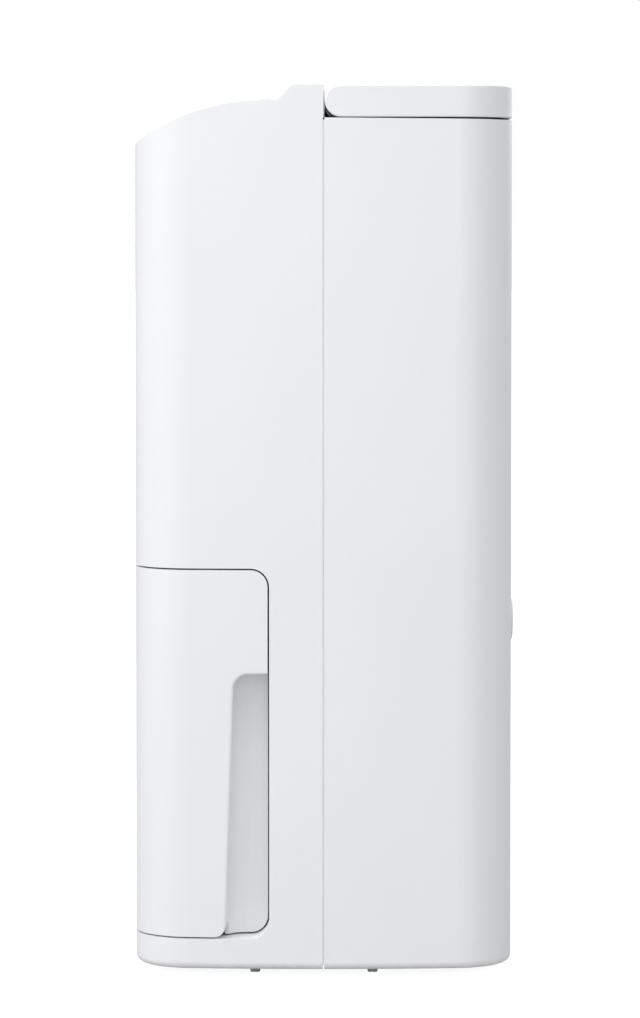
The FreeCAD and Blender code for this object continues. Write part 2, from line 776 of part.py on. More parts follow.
def corner_tool():
    """Rounds the cover's lower corner in front of the recess."""
    y = grip_front_low_y - cover_corner - 0.2
    z = tank_low_z + cover_corner
    block = box(cover_corner_x, width, y, y + cover_corner + 4, tank_low_z - 2, z)
    return block.cut(rod(cover_corner, V(120, y, z), V(width, y, z)))


def tank_cover():
    body = plan_prism(0.0, tank_low_z, tank_high_z)
    limits = tank_opening(0.0)
    outer = body.common(limits)
    skin_shell = outer.cut(plan_prism(skin, 0, height))
    low_flange = plan_prism(1.0, tank_low_z, tank_low_z + 2).cut(plan_prism(10.0, 0, height)).common(limits)
    top_flange = plan_prism(1.0, tank_high_z - 2, tank_high_z).cut(plan_prism(14.0, 0, height)).common(limits)
    shapes = [low_flange, top_flange]
    shapes += both_sides(outer.common(grip_tool(2.0)).common(box(0, width, -depth, 0, 0, height)))
    side = outer.common(box(128, width, tank_back_y - 2, tank_back_y, 160, tank_high_z))
    shapes += both_sides(side)
    cover = fuse(skin_shell, *shapes)
    tools = both_sides(grip_tool(0.0)) + both_sides(corner_tool())
    corner_y = grip_front_low_y - cover_corner
    backing = outer.common(box(128, cover_corner_x - 0.5, corner_y - 4, corner_y + 11, tank_low_z + 1, tank_low_z + 9))
    cover = fuse(cut(cover, *tools), *both_sides(backing.cut(grip_tool(0.5))))
    rim_points = []
    for y, z in grip_rim_places():
        for sx in (1, -1):
            rim_points.append(V(sx * side_x(y), y, z))
    return rounded(cover, grip_rim, *rim_points)


def tank_bucket():
    outer = box(-bucket_half_x, bucket_half_x, bucket_front_y, bucket_back_y, bucket_low_z, bucket_high_z)
    outer = rounded_upright(outer, 24.0)
    inner = box(-bucket_half_x + bucket_wall, bucket_half_x - bucket_wall, bucket_front_y + bucket_wall,
                bucket_back_y - bucket_wall, bucket_low_z + bucket_wall, bucket_high_z + 1)
    inner = rounded_upright(inner, 22.0)
    guides = []
    for x in (float_x - 18, float_x + 18):
        guides.append(box(x - 1, x + 1, bucket_back_y - 9, bucket_back_y - 1.5, 150, 196))
    guides.append(box(float_x - 17, float_x + 17, bucket_back_y - 9, bucket_back_y - 1.5, 150, 152))
    return fuse(outer.cut(inner), *guides)


def tank_lid():
    plate = box(-bucket_half_x, bucket_half_x, bucket_front_y, bucket_back_y,
                bucket_high_z + 0.2, bucket_high_z + 2.4)
    plate = rounded_upright(plate, 24.0)
    lip = box(-bucket_half_x + 2.6, bucket_half_x - 2.6, bucket_front_y + 2.6, bucket_back_y - 2.6,
              bucket_high_z - 5, bucket_high_z + 1)
    core = box(-bucket_half_x + 4.2, bucket_half_x - 4.2, bucket_front_y + 4.2, bucket_back_y - 4.2,
               bucket_high_z - 6, bucket_high_z + 0.2)
    lip = rounded_upright(lip, 21.4).cut(rounded_upright(core, 19.8))
    inlet = box(-24, 24, -76, -48, 190, 220)
    return fuse(plate, lip).cut(rounded_upright(inlet, 6.0))


def tank_float():
    block = box(float_x - 14, float_x + 14, bucket_back_y - 14, bucket_back_y - 3, 153, 173)
    pocket = box(float_x - 4.1, float_x + 4.1, bucket_back_y - 7.1, bucket_back_y - 2, 158.9, 167.1)
    return rounded_upright(block, 2.0).cut(pocket)


def float_magnet():
    return box(float_x - 4, float_x + 4, bucket_back_y - 7, bucket_back_y - 3, 159, 167)


def mid_frame():
    """The tank bay: ceiling, back wall and side cheeks that close the space round the bucket."""
    ceiling = box(-139, 139, -96, -8, bay_top_z, bay_top_z + 2).common(plan_prism(wall + 0.8, 0, height))
    back = box(-139, 139, -10, -8, 22, bay_top_z + 2)
    shapes = [ceiling, back]
    shapes += both_sides(box(126, 128, -28.3, -8, 23, bay_top_z + 2))
    shapes += both_sides(box(126, 144, -28.3, -26.6, 24, bay_top_z + 2))
    shapes += both_sides(box(126, 139, -27.6, -10, 24, 26))
    shapes += both_sides(box(137, 139, -27.6, -8, bay_top_z, bay_top_z + 2))
    drip_hole = box(-8, 8, -68, -56, bay_top_z - 1, bay_top_z + 3)
    return fuse(*shapes).cut(drip_hole)


# Wet side and air path

def drip_tray():
    outer = box(-112, 112, 40, 98, 234, 244)
    inner = box(-110, 110, 42, 96, 236, 250)
    spout = box(-10, 10, -70, 41, 234, 242).cut(box(-8, 8, -68, 43, 236, 250))
    hole = rod(3.0, V(0, -62, 230), V(0, -62, 240))
    drain = ring(6.5, 4.5, V(drain_x, 84, 226), V(drain_x, 84, 235))
    drain_hole = rod(4.5, V(drain_x, 84, 220), V(drain_x, 84, 240))
    joint = box(-8, 8, 39, 43, 236, 250)
    return cut(fuse(outer.cut(inner), spout, drain), joint, hole, drain_hole)


def drain_hose():
    points = [V(drain_x, 84, 225.9), V(drain_x, 84, drain_z + 7.6)]
    return ring(6.5, 4.5, *points)


def coil_heights():
    step = (coil_high_z - coil_low_z) / coil_passes
    return [coil_low_z + step * (index + 0.5) for index in range(coil_passes)]


def coil_fins(y):
    """Thin plates pierced by the coil's tubes, with gaps for the air."""
    fin = box(-fin_thickness / 2, fin_thickness / 2, y - coil_depth / 2, y + coil_depth / 2,
              coil_low_z, coil_high_z)
    for z in coil_heights():
        fin = fin.cut(rod(coil_tube_radius + 0.02, V(-1, y, z), V(1, y, z)))
    step = 2 * coil_half_x / (fin_count - 1)
    return [moved(fin, -coil_half_x + step * index) for index in range(fin_count)]


def coil_tube(y):
    """One serpentine of straight passes joined by return bends."""
    end = coil_half_x + 3
    shapes = []
    heights = coil_heights()
    bend = (heights[1] - heights[0]) / 2
    for index, z in enumerate(heights):
        shapes.append(rod(coil_tube_radius, V(-end, y, z), V(end, y, z)))
    for index, z in enumerate(heights[:-1]):
        side = 1 if index % 2 == 0 else -1
        turn = Part.makeTorus(bend, coil_tube_radius, V(side * end, y, z + bend), V(0, 1, 0))
        keep = box(min(0, side * width), max(0, side * width), y - 9, y + 9, z - 9, z + 2 * bend + 9)
        keep = moved(keep, side * end)
        shapes.append(turn.common(keep))
    return fuse(*shapes)


def scroll_solid(grow, y0, y1):
    """The fan's spiral casing with its outlet pointing up."""
    points = []
    start = 78.0 + grow
    growth = 24.0
    for index in range(13):
        angle = math.radians(30 * index)
        radius = start + growth * index / 12
        points.append(V(-radius * math.cos(angle), y0, fan_z - radius * math.sin(angle)))
    curve = Part.BSplineCurve()
    curve.interpolate(points)
    spiral = Part.Wire([curve.toShape(), Part.LineSegment(points[-1], points[0]).toShape()])
    body = Part.Face(spiral).extrude(V(0, y1 - y0, 0))
    outlet = box(-78.0 - grow, 30.0 + grow, y0, y1, fan_z, 450.0)
    cap = rod(78.0 + grow, V(0, y0, fan_z), V(0, y1, fan_z))
    return fuse(body, cap, outlet)


def fan_scroll():
    outer = scroll_solid(2.0, fan_front_y, fan_rear_y)
    inner = scroll_solid(0.0, fan_front_y + 2, fan_rear_y - 2)
    inner = inner.fuse(box(-78, 30, fan_front_y + 2, fan_rear_y - 2, 440, 455))
    inlet = rod(56.0, V(0, fan_rear_y - 3, fan_z), V(0, fan_rear_y + 1, fan_z))
    motor_hole = rod(9.0, V(0, fan_front_y - 1, fan_z), V(0, fan_front_y + 3, fan_z))
    return cut(outer, inner, inlet, motor_hole)


def fan_impeller():
    """A forward-curved wheel: back plate, hub, blades and shroud ring."""
    back_y = fan_front_y + 6
    front = fan_rear_y - 8
    plate = rod(impeller_radius, V(0, back_y, fan_z), V(0, back_y + 1.6, fan_z))
    hub = rod(10.0, V(0, back_y, fan_z), V(0, back_y + 22, fan_z))
    shroud = ring(impeller_radius, impeller_radius - 10, V(0, front - 1.6, fan_z), V(0, front, fan_z))
    blade = box(impeller_radius - 12, impeller_radius - 1, back_y + 1, front - 1, -0.6, 0.6)
    blade.rotate(V(impeller_radius - 6, 0, 0), V(0, 1, 0), 35)
    blades = []
    count = 36
    for index in range(count):
        copy = blade.copy()
        copy.rotate(V(0, 0, 0), V(0, 1, 0), 360.0 * index / count)
        blades.append(moved(copy, 0, 0, fan_z))
    wheel = fuse(plate, hub, shroud, *blades)
    return wheel.cut(rod(4.0, V(0, back_y - 1, fan_z), V(0, back_y + 23, fan_z)))


def fan_shaft():
    return rod(4.0, V(0, fan_front_y - 30, fan_z), V(0, fan_front_y + 30, fan_z))


def fan_motor():
    can = rod(36.0, V(0, fan_front_y - 28, fan_z), V(0, fan_front_y - 3, fan_z))
    flange = box(-52, 52, fan_front_y - 3.2, fan_front_y - 0.4, fan_z - 12, fan_z + 12)
    bore = rod(4.0 + running_gap, V(0, -110, fan_z), V(0, 0, fan_z))
    return fuse(can, flange).cut(bore)


def air_duct():
    """Carries the fan's air back over the coils to the outlet grille."""
    side = [(fan_front_y, 451), (104, 451), (104, 460), (101.5, 473.5), (24, 473.5), (16, 465), (fan_front_y, 465)]
    hollow = [(fan_front_y + 2, 440), (fan_front_y + 2, 463), (17, 463), (27, 474.5), (98, 474.5),
              (101.5, 459), (101.5, 453), (fan_rear_y - 2, 453), (fan_rear_y - 2, 440)]
    motor_room = box(50, 120, -80, 22, 440, 480)
    outer = side_polygon(side, -116, 116).cut(motor_room)
    inner = side_polygon(hollow, -114, 114).cut(moved(motor_room, -2, 2))
    floor = box(-116, 50, fan_front_y, fan_rear_y, 451, 453)
    floor = floor.cut(box(-78, 30, fan_front_y + 2, fan_rear_y - 2, 440, 460))
    return fuse(outer.cut(inner), floor)


# Compressor, pipes and electronics

def compressor():
    axis = V(compressor_x, compressor_y, compressor_low_z), V(compressor_x, compressor_y, compressor_high_z)
    shell = rod(compressor_radius, *axis)
    shell = shell.makeFillet(14.0, [edge for edge in shell.Edges if edge.Closed])
    foot = box(compressor_x - 44, compressor_x + 44, compressor_y - 44, compressor_y + 44, 26.0, 29.0)
    foot = rounded_upright(foot, 8.0)
    neck = rod(30.0, V(compressor_x, compressor_y, 28.0), V(compressor_x, compressor_y, 40.0))
    holes = []
    for x in (compressor_x - 38, compressor_x + 38):
        for y in (compressor_y - 38, compressor_y + 38):
            holes.append(rod(4.1, V(x, y, 20), V(x, y, 40)))
    belt = ring(compressor_radius + 1.2, compressor_radius - 1, V(compressor_x, compressor_y, 100),
                V(compressor_x, compressor_y, 106))
    return cut(fuse(shell, neck, foot, belt), *holes)


def compressor_mounts():
    """The grommets under each foot, and the bolts with their washers above."""
    grommets = []
    bolts = []
    for x in (compressor_x - 38, compressor_x + 38):
        for y in (compressor_y - 38, compressor_y + 38):
            grommets.append(ring(6.5, 2.4, V(x, y, 18.1), V(x, y, 25.9)))
            bolts.append(rod(2.3, V(x, y, 12.0), V(x, y, 31.5)).fuse(rod(5.0, V(x, y, 29.1), V(x, y, 33.0))))
    return grommets, bolts


def accumulator():
    can = rod(11.0, V(8, 26, 60), V(8, 26, 140))
    return can.makeFillet(5.0, [edge for edge in can.Edges if edge.Closed])


def discharge_pipe():
    """Hot gas from the compressor's top to the condenser's lowest pass."""
    low = coil_heights()[0]
    points = [V(compressor_x, compressor_y, compressor_high_z + 0.2), V(compressor_x, compressor_y, 206),
              V(-122, condenser_y, 206), V(-122, condenser_y, low), V(-coil_half_x - 3.2, condenser_y, low)]
    return pipe(points, 3.0, 8.0)


def liquid_line():
    """From the condenser's highest pass down to the filter drier."""
    high = coil_heights()[-1]
    points = [V(-coil_half_x - 2, condenser_y, high), V(drier_x, condenser_y, high), V(drier_x, drier_y, high),
              V(drier_x, drier_y, 214.0)]
    return pipe(points, 2.5, 8.0)


def suction_pipe():
    """Cold gas from the evaporator's highest pass to the accumulator."""
    high = coil_heights()[-1]
    points = [V(-coil_half_x - 3.2, evaporator_y, high), V(-124, evaporator_y, high), V(-124, 95.5, high),
              V(-124, 95.5, 212), V(8, 95.5, 212), V(8, 26, 212), V(8, 26, 140.3)]
    return pipe(points, 3.5, 5.0)


def capillary_tube():
    """From the filter drier's foot to the evaporator's lowest pass."""
    low = coil_heights()[0]
    points = [V(drier_x, drier_y, 149.7), V(drier_x, drier_y, 132), V(drier_x, evaporator_y, 132),
              V(drier_x, evaporator_y, low), V(-coil_half_x - 3.2, evaporator_y, low)]
    return pipe(points, 1.2, 7.0)


def filter_drier():
    body = rod(8.0, V(drier_x, drier_y, 150), V(drier_x, drier_y, 213.7))
    return body.makeFillet(4.0, [edge for edge in body.Edges if edge.Closed])


def pcb_box():
    outer = box(34, 130, 2, 40, 60, 188)
    return outer.cut(box(36, 128, 4, 41, 62, 186))


def power_pcb():
    board = box(38, 126, 8, 9.6, 64, 184)
    parts = [box(44, 70, 9.5, 30, 70, 96), box(78, 98, 9.5, 26, 72, 92), rod(7, V(112, 9.5, 84), V(112, 30, 84))]
    parts += [box(44 + 14 * n, 52 + 14 * n, 9.5, 22, 150, 174) for n in range(5)]
    return fuse(board, *parts)


def run_capacitor():
    can = rod(15.0, V(96, 70, 30), V(96, 70, 96))
    return can.makeFillet(2.0, [edge for edge in can.Edges if edge.Closed])


def float_sensor():
    return box(float_x - 8, float_x + 8, -7.8, -4.0, 176, 192)


def humidity_sensor():
    return box(-140, -126, 60, 76, 462.0, 464.0).fuse(box(-137, -129, 64, 72, 463.9, 469))


def main():
    os.makedirs("parts", exist_ok=True)
    save("front_casing", front_casing())
    save("rear_casing", rear_casing())
    save("casing_screws", *seam_screws())
    save("base_pan", base_pan())
    save("glide_feet", *glide_feet())
    save("caster_axles", *caster_axles())
    for side, x in (("left", -caster_x), ("right", caster_x)):
        for end, y in caster_ys.items():
            save("caster_wheel_" + end + "_" + side, caster_wheel(x, y))
    save("louver_cover", louver_cover())
    save("louver_inner_panel", louver_inner_panel())
    save("louver_hinge_pins", *louver_hinge_pins())
    save("louver_gear", louver_gear())
    save("louver_pinion", louver_pinion())
    save("louver_motor", louver_motor())
    save("outlet_grille", outlet_grille())
    save("control_panel", control_panel())
    save("display_window", display_window())
    for name, x in zip(button_names, button_xs()):
        save(name, push_button(x))
    save("control_pcb", control_pcb())
    save("rear_grille", rear_grille())
    save("air_filter", air_filter())
    save("drain_spout", drain_spout())
    save("drain_cap", drain_cap())
    save("drain_hose", drain_hose())
    save("cord_gland", cord_gland())
    save("tank_cover", tank_cover())
    save("tank_bucket", tank_bucket())
    save("tank_lid", tank_lid())
    save("tank_float", tank_float())
    save("float_magnet", float_magnet())
    save("float_sensor", float_sensor())
    save("mid_frame", mid_frame())
    save("drip_tray", drip_tray())
    for name, y in (("evaporator", evaporator_y), ("condenser", condenser_y)):
        save(name + "_fins", *coil_fins(y))
    save("evaporator_tube", coil_tube(evaporator_y))
    save("condenser_tube", fuse(coil_tube(condenser_y), liquid_line()))
    save("fan_scroll", fan_scroll())
    save("fan_impeller", fan_impeller())
    save("fan_shaft", fan_shaft())
    save("fan_motor", fan_motor())
    save("air_duct", air_duct())
    save("compressor", compressor())
    grommets, bolts = compressor_mounts()
    save("compressor_grommets", *grommets)
    save("compressor_bolts", *bolts)
    save("accumulator", accumulator())
    save("discharge_pipe", discharge_pipe())
    save("suction_pipe", suction_pipe())
    save("capillary_tube", capillary_tube())
    save("filter_drier", filter_drier())
    save("pcb_box", pcb_box())
    save("power_pcb", power_pcb())
    save("run_capacitor", run_capacitor())
    save("humidity_sensor", humidity_sensor())


main()
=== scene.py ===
"""Looks of a slim compressor dehumidifier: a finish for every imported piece, fine pieces and a stage."""

import json
import math

import bmesh
import bpy
from mathutils import Matrix, Vector


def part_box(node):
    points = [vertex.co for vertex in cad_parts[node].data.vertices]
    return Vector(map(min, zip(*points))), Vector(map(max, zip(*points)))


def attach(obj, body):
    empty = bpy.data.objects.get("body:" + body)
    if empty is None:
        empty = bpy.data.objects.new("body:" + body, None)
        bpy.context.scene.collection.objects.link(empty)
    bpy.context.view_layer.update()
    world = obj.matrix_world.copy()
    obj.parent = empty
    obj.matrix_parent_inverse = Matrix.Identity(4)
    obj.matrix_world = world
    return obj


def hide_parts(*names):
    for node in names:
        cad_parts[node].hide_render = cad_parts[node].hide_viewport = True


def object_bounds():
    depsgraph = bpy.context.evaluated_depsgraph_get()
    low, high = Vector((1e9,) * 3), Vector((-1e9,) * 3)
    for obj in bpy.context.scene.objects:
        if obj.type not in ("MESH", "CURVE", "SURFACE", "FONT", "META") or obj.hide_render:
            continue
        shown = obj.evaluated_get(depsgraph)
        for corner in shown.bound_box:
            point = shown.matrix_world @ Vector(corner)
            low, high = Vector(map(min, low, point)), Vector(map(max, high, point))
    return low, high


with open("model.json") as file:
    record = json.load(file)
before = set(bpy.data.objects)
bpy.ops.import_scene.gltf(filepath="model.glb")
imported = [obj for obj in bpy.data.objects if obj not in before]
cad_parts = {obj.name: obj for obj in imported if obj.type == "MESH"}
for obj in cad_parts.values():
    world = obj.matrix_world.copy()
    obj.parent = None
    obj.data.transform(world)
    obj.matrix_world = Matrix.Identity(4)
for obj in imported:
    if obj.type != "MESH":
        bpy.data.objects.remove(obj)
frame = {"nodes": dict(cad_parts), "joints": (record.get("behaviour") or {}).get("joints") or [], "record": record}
CAD_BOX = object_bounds()

bl_info = {
    "name": "Dehumidifier Looks",
    "version": (1, 0, 0),
    "blender": (4, 5, 0),
    "location": "View3D > Sidebar > Dehumidifier",
    "description": "Finishes and fine pieces for a slim compressor dehumidifier",
    "category": "Object",
}

MM = 0.001

# Smooth shading breaks at edges sharper than these angles, in degrees.
CASING_SHARP_ANGLE = 28
WHEEL_SHARP_ANGLE = 35
NORMAL_WEIGHT = 80


# Small tools

def to_linear(code):
    """An sRGB hex colour as linear red, green, blue and alpha."""
    channels = [int(code[i:i + 2], 16) / 255 for i in (1, 3, 5)]
    return [c / 12.92 if c <= 0.04045 else ((c + 0.055) / 1.055) ** 2.4 for c in channels] + [1.0]


def add_node(tree, kind, settings=None, links=None):
    """Adds a node; settings set its sockets or properties, links name the output that feeds each socket."""
    node = tree.nodes.new(kind)
    for key, value in (settings or {}).items():
        if isinstance(key, int) or key in node.inputs:
            node.inputs[key].default_value = value
        else:
            setattr(node, key, value)
    for key, output in (links or {}).items():
        tree.links.new(output, node.inputs[key])
    return node


def body_of_node(node):
    for body, members in frame["record"]["behaviour"]["bodies"].items():
        if node in members:
            return body
    raise ValueError("no body holds " + node)


def new_piece(name, mesh, body, material):
    """Puts a finished mesh in the scene as a piece of the object."""
    piece = bpy.data.objects.new(name, mesh)
    bpy.context.scene.collection.objects.link(piece)
    piece.data.materials.append(material)
    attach(piece, body)
    return piece


def mesh_from(name, bm):
    bmesh.ops.remove_doubles(bm, verts=bm.verts, dist=1e-7)
    bmesh.ops.recalc_face_normals(bm, faces=bm.faces)
    mesh = bpy.data.meshes.new(name)
    bm.to_mesh(mesh)
    bm.free()
    return mesh


def smooth(piece, degrees=CASING_SHARP_ANGLE):
    """Smooth shading that breaks at edges sharper than the angle."""
    mesh = piece.data
    mesh.shade_smooth()
    mesh.set_sharp_from_angle(angle=math.radians(degrees))
    weighted = piece.modifiers.new("even_normals", "WEIGHTED_NORMAL")
    weighted.keep_sharp = True
    weighted.weight = NORMAL_WEIGHT


def add_block(bm, low, high):
    """A box between two corners."""
    corners = [Vector((x, y, z))
               for x in (low[0], high[0]) for y in (low[1], high[1]) for z in (low[2], high[2])]
    verts = [bm.verts.new(corner) for corner in corners]
    for index in ((0, 1, 3, 2), (4, 6, 7, 5), (0, 4, 5, 1), (2, 3, 7, 6), (0, 2, 6, 4), (1, 5, 7, 3)):
        bm.faces.new([verts[i] for i in index])


def add_lathe(bm, profile, matrix, segments):
    """Turns a closed profile of (radius, height) points about local Z and places it with matrix."""
    rings = []
    for step in range(segments):
        angle = 2 * math.pi * step / segments
        cosine, sine = math.cos(angle), math.sin(angle)
        rings.append([bm.verts.new(matrix @ Vector((r * cosine, r * sine, h))) for r, h in profile])
    count = len(profile)
    for step in range(segments):
        here, there = rings[step], rings[(step + 1) % segments]
        for i in range(count):
            j = (i + 1) % count
            bm.faces.new((here[i], there[i], there[j], here[j]))


# Materials

# The Mix node's sockets for colours; it has others of the same names for floats and vectors.
MIX_FACTOR = 0
MIX_COLOUR_A = 6
MIX_COLOUR_B = 7
MIX_COLOUR_RESULT = 2

GRAIN_DETAIL = 2.0
GRAIN_FALLOFF = 0.55
MOTTLE_DETAIL = 3.0
WEAR_DETAIL = 4.0

IOR_ABS = 1.53
IOR_ACETAL = 1.48
IOR_POLYPROPYLENE = 1.49
IOR_ACRYLIC = 1.49


def start_material(name, colour, roughness, metallic=0.0):
    """A material with one Principled shader, and a Texture Coordinate node in metres."""
    material = bpy.data.materials.new(name)
    material.use_nodes = True
    tree = material.node_tree
    shader = tree.nodes["Principled BSDF"]
    shader.inputs["Base Color"].default_value = to_linear(colour)
    shader.inputs["Roughness"].default_value = roughness
    shader.inputs["Metallic"].default_value = metallic
    place = add_node(tree, "ShaderNodeTexCoord").outputs["Object"]
    return material, tree, shader, place


def add_noise(tree, vector, size_mm, **settings):
    """A noise texture whose spots are size_mm apart."""
    values = {"Scale": 1 / (size_mm * MM), **settings}
    return add_node(tree, "ShaderNodeTexNoise", values, {"Vector": vector}).outputs["Fac"]


def add_bump(tree, shader, height, strength, depth_mm):
    bump = add_node(tree, "ShaderNodeBump", {"Strength": strength, "Distance": depth_mm * MM},
                    {"Height": height})
    tree.links.new(bump.outputs["Normal"], shader.inputs["Normal"])


def spread_roughness(tree, shader, value, low, high):
    spread = add_node(tree, "ShaderNodeMapRange", {"To Min": low, "To Max": high}, {"Value": value})
    tree.links.new(spread.outputs["Result"], shader.inputs["Roughness"])


def grain(tree, shader, place, size_mm, depth_mm, strength):
    """Moulded or sprayed grain as a bump whose bumps are size_mm apart."""
    noise = add_noise(tree, place, size_mm, Detail=GRAIN_DETAIL, Roughness=GRAIN_FALLOFF)
    add_bump(tree, shader, noise, strength, depth_mm)


def mottle(tree, shader, place, size_mm, light, dark, socket="Base Color"):
    """Slow variation between two colours, spots size_mm apart."""
    noise = add_noise(tree, place, size_mm, Detail=MOTTLE_DETAIL)
    mix = add_node(tree, "ShaderNodeMix", {"data_type": "RGBA"}, {MIX_FACTOR: noise})
    mix.inputs[MIX_COLOUR_A].default_value = to_linear(light)
    mix.inputs[MIX_COLOUR_B].default_value = to_linear(dark)
    tree.links.new(mix.outputs[MIX_COLOUR_RESULT], shader.inputs[socket])


def worn_roughness(tree, shader, place, size_mm, low, high):
    """Roughness that drifts between low and high over size_mm, as handling leaves it."""
    spread_roughness(tree, shader, add_noise(tree, place, size_mm, Detail=WEAR_DETAIL), low, high)


def satin_white_abs(settings):
    """ABS moulded in a spark-eroded tool: a fine even grain that spreads each highlight softly."""
    material, tree, shader, place = start_material("ABS_white_spark_eroded", settings.casing_colour, 0.42)
    shader.inputs["IOR"].default_value = IOR_ABS
    shader.inputs["Specular IOR Level"].default_value = 0.42
    mottle(tree, shader, place, 90.0, settings.casing_colour, "#EEEFF1")
    worn_roughness(tree, shader, place, 60.0, 0.38, 0.47)
    # The real grain is about 0.1 mm; it is drawn at 0.7 mm so that it shows.
    grain(tree, shader, place, 0.7, 0.02, 0.35)
    return material


def satin_grey_abs():
    """The same moulded ABS in cool grey, for the louver's inner panel and the outlet grille."""
    material, tree, shader, place = start_material("ABS_grey_moulded", "#A9ADB2", 0.4)
    shader.inputs["IOR"].default_value = IOR_ABS
    mottle(tree, shader, place, 40.0, "#ABAFB4", "#A3A7AC")
    grain(tree, shader, place, 0.6, 0.02, 0.3)
    return material


def button_abs():
    """Polished-then-blasted ABS caps: a shade cooler and smoother than the casing round them."""
    material, tree, shader, place = start_material("ABS_button_blasted", "#DADDE1", 0.32)
    shader.inputs["IOR"].default_value = IOR_ABS
    mottle(tree, shader, place, 12.0, "#DCDFE3", "#D5D8DC")
    grain(tree, shader, place, 0.5, 0.01, 0.25)
    return material


def dark_polypropylene():
    """Polypropylene moulded in a coarse-textured tool: nearly black, waxy, with a pebbled surface."""
    material, tree, shader, place = start_material("Polypropylene_charcoal_pebbled", "#3A3B3D", 0.55)
    shader.inputs["IOR"].default_value = IOR_POLYPROPYLENE
    mottle(tree, shader, place, 25.0, "#3F4042", "#343537")
    pebble = 1.1 * MM
    cells = add_node(tree, "ShaderNodeTexVoronoi", {"Scale": 1 / pebble}, {"Vector": place})
    add_bump(tree, shader, cells.outputs["Distance"], 0.35, 0.05)
    return material


def bead_foam():
    """Expanded polystyrene: packed beads about 3 mm across, dull white, with faint dark joints."""
    material, tree, shader, place = start_material("Polystyrene_expanded_beads", "#E6E6E2", 0.8)
    bead = 3.0 * MM
    joint_width = 0.12
    cells = add_node(tree, "ShaderNodeTexVoronoi", {"Scale": 1 / bead, "feature": "DISTANCE_TO_EDGE"},
                     {"Vector": place})
    ramp = add_node(tree, "ShaderNodeValToRGB", {}, {"Fac": cells.outputs["Distance"]})
    ramp.color_ramp.elements[0].color = to_linear("#C9C9C4")
    ramp.color_ramp.elements[1].color = to_linear("#ECECE8")
    ramp.color_ramp.elements[1].position = joint_width
    tree.links.new(ramp.outputs["Color"], shader.inputs["Base Color"])
    add_bump(tree, shader, cells.outputs["Distance"], 0.5, 0.2)
    return material


def acetal():
    """Acetal, moulded: hard, slippery and slightly glossy, as wheels, glides and small gears are."""
    material, tree, shader, place = start_material("Acetal_moulded", "#D6D7D9", 0.3)
    shader.inputs["IOR"].default_value = IOR_ACETAL
    mottle(tree, shader, place, 6.0, "#DADBDD", "#CFD0D2")
    grain(tree, shader, place, 0.5, 0.02, 0.2)
    return material


def translucent_polypropylene():
    """Clear-natural polypropylene, moulded: milky, so that what is behind shows only as a shadow."""
    material, tree, shader, place = start_material("Polypropylene_natural", "#E3EAF0", 0.28)
    shader.inputs["IOR"].default_value = IOR_POLYPROPYLENE
    shader.inputs["Transmission Weight"].default_value = 0.55
    mottle(tree, shader, place, 50.0, "#E6EDF2", "#DBE3EA")
    grain(tree, shader, place, 2.5, 0.03, 0.15)
    return material


def smoked_acrylic():
    """Tinted acrylic, polished: a dark, sharp reflection over the digits beneath."""
    material, tree, shader, place = start_material("Acrylic_smoked_polished", "#16181B", 0.08)
    shader.inputs["IOR"].default_value = IOR_ACRYLIC
    shader.inputs["Coat Weight"].default_value = 0.5
    worn_roughness(tree, shader, place, 15.0, 0.05, 0.13)
    return material


def zinc_steel():
    """Zinc-plated steel: bright, faintly blue, with fine turning marks."""
    material, tree, shader, place = start_material("Steel_zinc_plated", "#B9BCC0", 0.32, 1.0)
    mottle(tree, shader, place, 4.0, "#C2C4C7", "#AEB2B8")
    worn_roughness(tree, shader, place, 3.0, 0.24, 0.42)
    return material


def drawn_copper():
    """Copper tube, drawn: warm metal that has begun to tarnish in patches."""
    material, tree, shader, place = start_material("Copper_drawn", "#B87552", 0.3, 1.0)
    mottle(tree, shader, place, 8.0, "#C2805C", "#8E5638")
    worn_roughness(tree, shader, place, 5.0, 0.22, 0.45)
    return material


def rolled_aluminium():
    """Aluminium strip, rolled: pale metal with streaks along the rolling direction."""
    material, tree, shader, place = start_material("Aluminium_rolled", "#C9CDD2", 0.35, 1.0)
    streak = (1.0, 1.0, 0.04)
    stretch = add_node(tree, "ShaderNodeMapping", {"Scale": streak}, {"Vector": place})
    spread_roughness(tree, shader, add_noise(tree, stretch.outputs["Vector"], 0.8), 0.26, 0.5)
    return material


def stoved_enamel():
    """Black enamel, sprayed and stoved: glossy with a slight orange peel."""
    material, tree, shader, place = start_material("Enamel_black_stoved", "#141516", 0.22)
    shader.inputs["Coat Weight"].default_value = 0.6
    grain(tree, shader, place, 2.0, 0.04, 0.3)
    worn_roughness(tree, shader, place, 20.0, 0.18, 0.3)
    return material


def moulded_rubber():
    """Rubber, moulded: dull black with a dusty bloom."""
    material, tree, shader, place = start_material("Rubber_moulded", "#232324", 0.75)
    mottle(tree, shader, place, 7.0, "#2A2A2B", "#1C1C1D")
    grain(tree, shader, place, 0.6, 0.05, 0.4)
    return material


def circuit_board():
    """Glass-epoxy board with a green mask: satin, with tracks as faint lighter lines."""
    material, tree, shader, place = start_material("Circuit_board_masked", "#1D5A38", 0.4)
    track_spacing = 14.0 * MM
    bricks = add_node(tree, "ShaderNodeTexBrick", {"Scale": 1 / track_spacing, "Mortar Size": 0.04},
                      {"Vector": place})
    bricks.inputs["Color1"].default_value = to_linear("#1B5535")
    bricks.inputs["Color2"].default_value = to_linear("#205F3C")
    bricks.inputs["Mortar"].default_value = to_linear("#3F8A5C")
    tree.links.new(bricks.outputs["Color"], shader.inputs["Base Color"])
    return material


def woven_nylon():
    """Nylon thread: dark grey with a soft sheen along each thread."""
    material, tree, shader, place = start_material("Nylon_woven", "#4A4D51", 0.5)
    shader.inputs["Sheen Weight"].default_value = 0.3
    mottle(tree, shader, place, 3.0, "#50535A", "#42454A")
    grain(tree, shader, place, 0.3, 0.03, 0.3)
    return material


